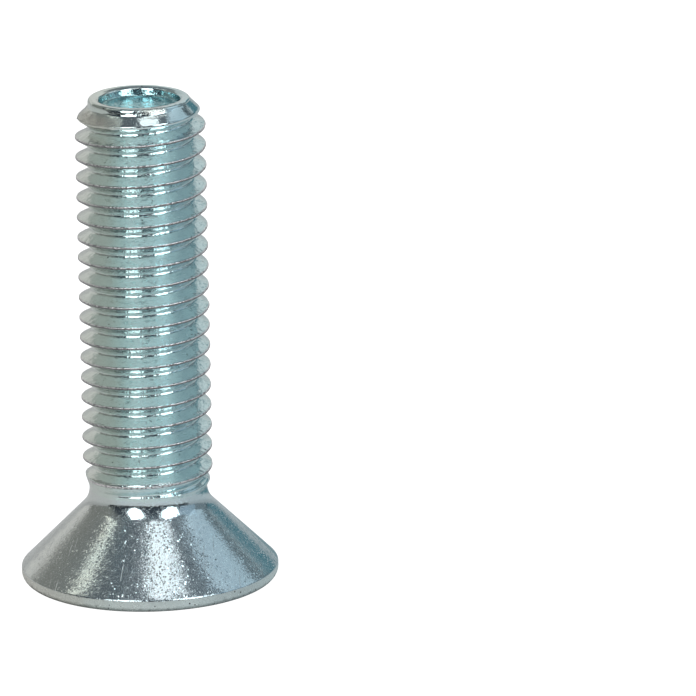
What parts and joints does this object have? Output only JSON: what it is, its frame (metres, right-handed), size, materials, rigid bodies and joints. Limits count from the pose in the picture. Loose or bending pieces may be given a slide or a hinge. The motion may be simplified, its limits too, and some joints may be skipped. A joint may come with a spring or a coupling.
{
  "type": "countersunk hex socket cap screw",
  "caption": "Countersunk screw with a hex socket in its flat head, a right-hand thread up to the neck and a cupped tip, bright zinc plated.",
  "frame": {"origin": "centre of the head's flat face, on which the screw stands", "axes": "+Z along the screw from the head to the tip; +X and +Y across it, with a corner of the hexagon on +X"},
  "size_m": [0.0156, 0.0156, 0.03],
  "materials": {
    "zinc_steel": "bright zinc plating with a pale blue cast"
  },
  "bodies": {
    "root": {"countersunk_screw": "zinc_steel"}
  },
  "joints": []
}
